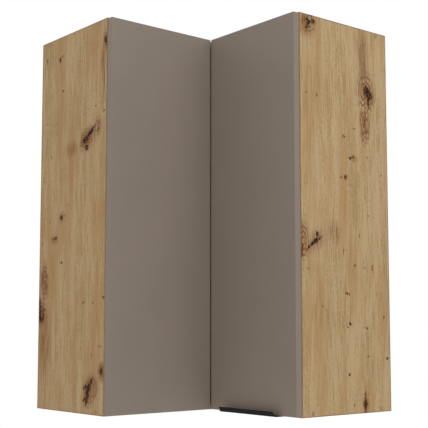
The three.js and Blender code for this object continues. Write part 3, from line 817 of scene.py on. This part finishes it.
class CABINET_OT_backs(bpy.types.Operator):
    """Finish the two hardboard backs, lacquered inside and bare outside, and screw them to the rear post"""

    bl_idname = "cabinet.backs"
    bl_label = "Backs"
    edge_break = 0.15 * MM
    post_heights = [60, 255, 450, 645, 840]  # of the screws, in millimetres

    def execute(self, context):
        finishes = [hardboard_face(), hardboard_rear()]
        zinc = zinc_plate()
        post_low, post_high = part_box("rear_corner_post")
        rows = {
            "left": [post_high - ALONG_LEFT * BOARD / 2],
            "right": [post_low + ALONG_BACK * BOARD, post_high - ALONG_BACK * BOARD],
        }
        inward = {"left": ALONG_BACK, "right": ALONG_LEFT}
        for wing, way in inward.items():
            node = f"{wing}_back_panel"

            def choose(face, axis, outside, way=way):
                return 0 if face.normal.dot(way) > 0.5 else 1

            dressed(node, finishes, self.edge_break, choose, smooth=False)
            rear = face_of(node, -way)
            screws = [
                ("back", moved_to(Vector((place.x, place.y, height * MM)), -way, rear), -way)
                for place in rows[wing] for height in self.post_heights
            ]
            driven(f"{wing}_back_screws", "carcass", zinc, screws)
        return {"FINISHED"}


class CABINET_OT_doors(bpy.types.Operator):
    """Finish the two doors in matt laminate, with bare chipboard in the hinge bores"""

    bl_idname = "cabinet.doors"
    bl_label = "Doors"
    shortest_band = 15.5 * MM  # just under a door's thickness; the edges of bores are shorter

    def execute(self, context):
        finishes = [matt_laminate(), bpy.data.materials["raw_chipboard"]]

        def choose(face, axis, outside):
            return 0 if outside else 1

        for node in ("left_door", "right_door"):
            dressed(node, finishes, context.scene.cabinet_doors.arris, choose, steps=3,
                    least_length=self.shortest_band, clamp=False, smooth=False)
        return {"FINISHED"}


class CABINET_OT_handle(bpy.types.Operator):
    """Fold the edge handle from sheet metal, and drive the three screws that hold its flange"""

    bl_idname = "cabinet.handle"
    bl_label = "Handle"
    under = 15 * MM         # the flange, from the door's front to its rear edge
    fold = 14.6 * MM        # from the door's front to the fold
    fold_radius = 2.2 * MM
    taper = 4.5 * MM        # how much the lip's top edge falls short at each end
    sheet = 1.5 * MM
    edge_break = 0.3 * MM
    screws_at = [-60, 0, 60]  # millimetres from the handle's middle
    screw_in = 7 * MM       # from the door's front

    def execute(self, context):
        black = black_anodised()
        front = moved_to(middle_of("edge_handle"), ALONG_LEFT, face_of("right_door", ALONG_LEFT))
        front.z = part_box("edge_handle")[0].z
        handle = self.folded_sheet(front, context.scene.cabinet_doors)
        break_edges(handle, self.edge_break)
        piece = settle(handle, "edge_handle_finished", body_of("edge_handle"), [black])
        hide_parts("edge_handle")
        line = front - ALONG_LEFT * self.screw_in
        screws = [("handle", line + ALONG_BACK * along * MM, -UPRIGHT) for along in self.screws_at]
        driven("handle_screws", "right_door", black, screws)
        return {"FINISHED"}

    def folded_sheet(self, front, look):
        """A flange under the door and a lip that leans out, folded from one strip."""
        half = look.handle_length / 2
        section = (
            (-self.under, 0, half),
            (self.fold, 0, half),
            (look.handle_reach, look.handle_rise, half - self.taper),
        )
        bm = bmesh.new()
        near_end = [
            bm.verts.new(front + ALONG_LEFT * out + UPRIGHT * up - ALONG_BACK * along)
            for out, up, along in section
        ]
        strip = [bm.edges.new(pair) for pair in zip(near_end, near_end[1:])]
        made = bmesh.ops.extrude_edge_only(bm, edges=strip)["geom"]
        far_end = [item for item in made if isinstance(item, bmesh.types.BMVert)]
        bmesh.ops.scale(bm, vec=(-1, 1, 1), space=Matrix.Translation(-front), verts=far_end)
        fold = [edge for edge in bm.edges if len(edge.link_faces) == 2]
        bmesh.ops.bevel(bm, geom=fold, offset=self.fold_radius, affect="EDGES", segments=5, profile=0.5,
                        material=-1)
        bmesh.ops.solidify(bm, geom=bm.faces[:], thickness=self.sheet)
        bmesh.ops.recalc_face_normals(bm, faces=bm.faces)
        low = min(vert.co.z for vert in bm.verts)
        bmesh.ops.translate(bm, vec=(0, 0, front.z - low), verts=bm.verts)
        return bm


class CABINET_OT_cover_caps(bpy.types.Operator):
    """Press the plastic cover caps over the board screws' heads"""

    bl_idname = "cabinet.cover_caps"
    bl_label = "Cover caps"

    def execute(self, context):
        look = context.scene.cabinet_boards
        plastic = moulded_plastic("cover_cap_plastic", look.cap, gloss=0.2)
        radius, rise = look.cap_radius, look.cap_height
        profile = [
            (0, rise), (0.5 * radius, 0.96 * rise), (0.82 * radius, 0.82 * rise),
            (0.95 * radius, 0.5 * rise), (radius, 0), (0, 0),
        ]
        outward = {"left": ALONG_LEFT, "right": ALONG_BACK}
        for wing, way in outward.items():
            for row in ("rear", "front"):
                for level in ("bottom", "top"):
                    screw = f"{wing}_{row}_{level}_screw"
                    at = moved_to(middle_of(screw), way, face_of(f"{wing}_end_panel", way))
                    cap = stood(turned(profile), at, way)
                    settle(cap, f"{wing}_{row}_{level}_cover_cap", "carcass", [plastic])
        return {"FINISHED"}


class CABINET_OT_fittings(bpy.types.Operator):
    """Finish the board screws, shelf pins, wall hangers and door bumpers"""

    bl_idname = "cabinet.fittings"
    bl_label = "Fittings"
    screw_edge = 0.15 * MM
    housing_edge = 0.8 * MM
    bumper_edge = 0.3 * MM
    setting_screw_up = 25 * MM   # above the housing's underside
    setting_screw_in = 1.5 * MM  # behind the housing's front
    # from the housing's rear, and above its underside or, where negative, below its top
    fixing_screws = ((10 * MM, 6 * MM), (50 * MM, -6.5 * MM))

    def execute(self, context):
        look = context.scene.cabinet_hardware
        zinc = bpy.data.materials["zinc_plated_steel"]  # the construction model's own
        nickel = nickel_plate()
        plastic = moulded_plastic("white_moulded_plastic", look.plastic)
        endings = {
            "_screw": (zinc, self.screw_edge),
            "_pin": (nickel, look.edge_break),
            "_hanger_housing": (plastic, self.housing_edge),
            "_hanger_hook": (zinc, look.edge_break),
            "_bumper": (clear_gel(), self.bumper_edge),
        }
        for node in frame["nodes"]:
            for ending, (finish, radius) in endings.items():
                if node.endswith(ending):
                    dressed(node, [finish], radius)
        self.hanger_screws("left", ALONG_BACK, -ALONG_LEFT, zinc)
        self.hanger_screws("right", ALONG_LEFT, -ALONG_BACK, zinc)
        return {"FINISHED"}

    def hanger_screws(self, wing, outward, inward, zinc):
        """The setting screw in a hanger's nose, and two screws that hold its housing to the end panel."""
        node = f"{wing}_hanger_housing"
        low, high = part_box(node)
        nose = moved_to(middle_of(node), outward, face_of(node, outward) - self.setting_screw_in)
        nose.z = low.z + self.setting_screw_up
        screws = [("setting", nose, outward)]
        rear = -face_of(node, -outward)
        face = face_of(node, inward)
        for out, height in self.fixing_screws:
            at = moved_to(moved_to(middle_of(node), outward, rear + out), inward, face)
            at.z = height + (low.z if height > 0 else high.z)
            screws.append(("hanger", at, inward))
        driven(f"{wing}_hanger_screws", "carcass", zinc, screws)


class CABINET_OT_hinges(bpy.types.Operator):
    """Finish the four concealed hinges, and add their screws and the rivets of their pivots"""

    bl_idname = "cabinet.hinges"
    bl_label = "Hinges"

    # for each kind: the direction of its arm, the direction away from what carries its plate, the direction
    # that its cup faces, and the door that the cup is in
    kinds = {
        "side": (ALONG_BACK, -ALONG_LEFT, -ALONG_BACK, "left_door"),
        "corner": (-ALONG_LEFT, -ALONG_BACK, -ALONG_LEFT, "right_door"),
    }
    # places on the CAD hinge: along the arm from the plate's middle, out from what carries the plate, and
    # up and down from the hinge's middle
    plate_gap = 0.3 * MM
    screw_line = 4 * MM
    wing_top = 2.8 * MM
    wing_screw = 16 * MM
    web_top = 16 * MM
    clamp_screw = -19 * MM
    side_screw = -5 * MM
    side_screw_in = 0.4 * MM
    flange = 0.8 * MM
    ear_screw = 24 * MM
    eye = 3.78 * MM  # from the end of a link to its pivot
    lug_out = 11.8 * MM  # from the hinge's middle to the rivets in the cup's lugs
    link_out = 9.8 * MM  # and to those in the outer link

    def execute(self, context):
        look = context.scene.cabinet_hardware
        nickel = bpy.data.materials["nickel_plated_steel"]  # the construction model's own
        for node in frame["nodes"]:
            if "_hinge_" in node:
                dressed(node, [nickel], look.edge_break)
        for level in ("lower", "upper"):
            for kind, ways in self.kinds.items():
                hinge = f"{level}_{kind}_hinge"
                self.drive_screws(hinge, *ways, nickel)
                self.rivets(hinge, nickel)
        return {"FINISHED"}

    def drive_screws(self, hinge, along, away, faces, door, nickel):
        """Two screws in the plate's wings, the arm's clamping and side screws, and two in the cup's ears."""
        plate, cup = f"{hinge}_plate", f"{hinge}_cup"
        foot = moved_to(middle_of(plate), away, -face_of(plate, -away) - self.plate_gap)
        line = foot + along * self.screw_line
        wings = [line + away * self.wing_top + UPRIGHT * up for up in (-self.wing_screw, self.wing_screw)]
        clamp = line + along * self.clamp_screw + away * self.web_top
        side = line + along * self.side_screw + away * (self.web_top - self.side_screw_in)
        centre = moved_to(middle_of(cup), faces, face_of(door, faces) + self.flange)
        ears = [centre + UPRIGHT * up for up in (-self.ear_screw, self.ear_screw)]
        pieces = {
            "plate": (plate, [("plate", at, away) for at in wings]),
            "arm": (plate, [("clamp", clamp, away), ("side", side, away)]),
            "cup": (cup, [("cup", at, faces) for at in ears]),
        }
        for part, (node, screws) in pieces.items():
            driven(f"{hinge}_{part}_screws", body_of(node), nickel, screws)

    def rivets(self, hinge, nickel):
        """Rivet heads at both ends of the outer link's two pivots."""
        link, cup = f"{hinge}_outer_link", f"{hinge}_cup"
        low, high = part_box(link)
        middle = middle_of(link).z
        in_mm = [(0, 0.5), (1.2, 0.46), (2.1, 0.3), (2.5, 0.1), (2.5, 0), (0, 0)]
        profile = [(radius * MM, height * MM) for radius, height in in_mm]
        pivots = {
            link: (low.x + self.eye, high.y - self.eye, self.link_out),
            cup: (high.x - self.eye, low.y + self.eye, self.lug_out),
        }
        for node, (x, y, out) in pivots.items():
            heads = [
                stood(turned(profile, 20), Vector((x, y, middle + side * out)), UPRIGHT * side)
                for side in (-1, 1)
            ]
            settle(gathered(heads), f"{node}_rivets", body_of(node), [nickel])


class CABINET_OT_stage(bpy.types.Operator):
    """Set up the pale floor, the soft light and the camera"""

    bl_idname = "cabinet.stage"
    bl_label = "Stage"
    floor_reach = 12  # metres from its middle to its edges
    lamps = {"key": Vector((3.5, -0.4, 1.8)), "fill": Vector((1.6, -3.3, 1.8))}

    def execute(self, context):
        look = context.scene.cabinet_stage
        self.make_floor(look)
        self.make_world(context, look)
        for name, at in self.lamps.items():
            self.make_lamp(look, name, at)
        self.make_camera(context, look)
        context.scene.view_settings.view_transform = "Standard"
        return {"FINISHED"}

    def make_floor(self, look):
        bm = bmesh.new()
        bmesh.ops.create_grid(bm, x_segments=1, y_segments=1, size=self.floor_reach)
        bmesh.ops.translate(bm, vec=(0, 0, -look.floor_drop), verts=bm.verts)
        floor = formed(bm, "floor", [self.floor_paper(look)])

    def seen_rays(self, add):
        """1 for camera, glossy and transmission rays."""
        rays = add("LightPath").outputs
        seen = add("Math", (rays["Is Camera Ray"], rays["Is Glossy Ray"]), operation="MAXIMUM")
        return add("Math", (seen, rays["Is Transmission Ray"]), operation="MAXIMUM")

    def floor_paper(self, look):
        """Seamless white paper: matt, lifted for the camera to the background's white, keeping its shadow."""
        material, add, place = blank("floor_paper")
        fibre = add("TexNoise", {"Vector": place, "Scale": 1 / 3, "Detail": 2})
        rough = add("MapRange", (fibre, 0.3, 0.7, 0.85, 0.95))
        glow = add("Math", (self.seen_rays(add), look.glow), operation="MULTIPLY")
        paper = {
            "Base Color": look.floor, "Roughness": rough,
            "Emission Color": look.floor, "Emission Strength": glow,
        }
        add("OutputMaterial", (add("BsdfPrincipled", paper),))
        return material

    def make_world(self, context, look):
        """Even light from all round, and plain white where the surroundings are seen."""
        world = bpy.data.worlds.new("studio")
        world.use_nodes = True
        world.node_tree.nodes.clear()
        add = partial(add_node, world.node_tree)
        strength = add("MapRange", (self.seen_rays(add), 0, 1, look.ambient, 1))
        sky = add("Background", {"Color": linear("#ffffff"), "Strength": strength})
        add("OutputWorld", (sky,))
        context.scene.world = world

    def aimed(self, name, data, at, gaze):
        """An object that stands at a place and looks along a direction."""
        thing = put(name, data)
        thing.location = at
        thing.rotation_euler = gaze.to_track_quat("-Z", "Y").to_euler()
        return thing

    def make_lamp(self, look, name, at):
        """A round soft light that faces the cabinet's middle."""
        light = bpy.data.lights.new(name, "AREA")
        light.shape = "DISK"
        light.size = look.lamp
        light.energy = getattr(look, name)
        self.aimed(name, light, at, (cad_box[0] + cad_box[1]) / 2 - at)

    def make_camera(self, context, look):
        """The photograph's view: its place, direction, focal length and lens shift."""
        data = bpy.data.cameras.new("camera")
        data.lens = look.lens
        data.shift_y = look.rise
        level = math.cos(look.pitch)
        gaze = Vector((-math.cos(look.yaw) * level, math.sin(look.yaw) * level, math.sin(look.pitch)))
        context.scene.camera = self.aimed("camera", data, look.position, gaze)


SETTINGS = {
    "cabinet_stage": StageSettings,
    "cabinet_boards": BoardSettings,
    "cabinet_doors": DoorSettings,
    "cabinet_hardware": HardwareSettings,
}
OPERATORS = (
    CABINET_OT_stage,
    CABINET_OT_boards,
    CABINET_OT_backs,
    CABINET_OT_doors,
    CABINET_OT_handle,
    CABINET_OT_cover_caps,
    CABINET_OT_fittings,
    CABINET_OT_hinges,
)


class CABINET_PT_panel(bpy.types.Panel):
    """Steps and settings of the corner wall cabinet"""

    bl_idname = "CABINET_PT_panel"
    bl_label = "Corner wall cabinet"
    bl_space_type = "VIEW_3D"
    bl_region_type = "UI"
    bl_category = "Cabinet"

    def draw(self, context):
        for operator in OPERATORS:
            self.layout.operator(operator.bl_idname)
        for name, group in SETTINGS.items():
            settings = getattr(context.scene, name)
            for key in group.__annotations__:
                self.layout.prop(settings, key)


def register():
    for name, group in SETTINGS.items():
        bpy.utils.register_class(group)
        setattr(bpy.types.Scene, name, PointerProperty(type=group))
    for cls in (*OPERATORS, CABINET_PT_panel):
        bpy.utils.register_class(cls)


def unregister():
    for cls in (CABINET_PT_panel, *reversed(OPERATORS)):
        bpy.utils.unregister_class(cls)
    for name, group in reversed(SETTINGS.items()):
        delattr(bpy.types.Scene, name)
        bpy.utils.unregister_class(group)


def main():
    register()
    for operator in OPERATORS:
        category, step = operator.bl_idname.split(".")
        getattr(getattr(bpy.ops, category), step)()


if __name__ == "__main__":
    main()
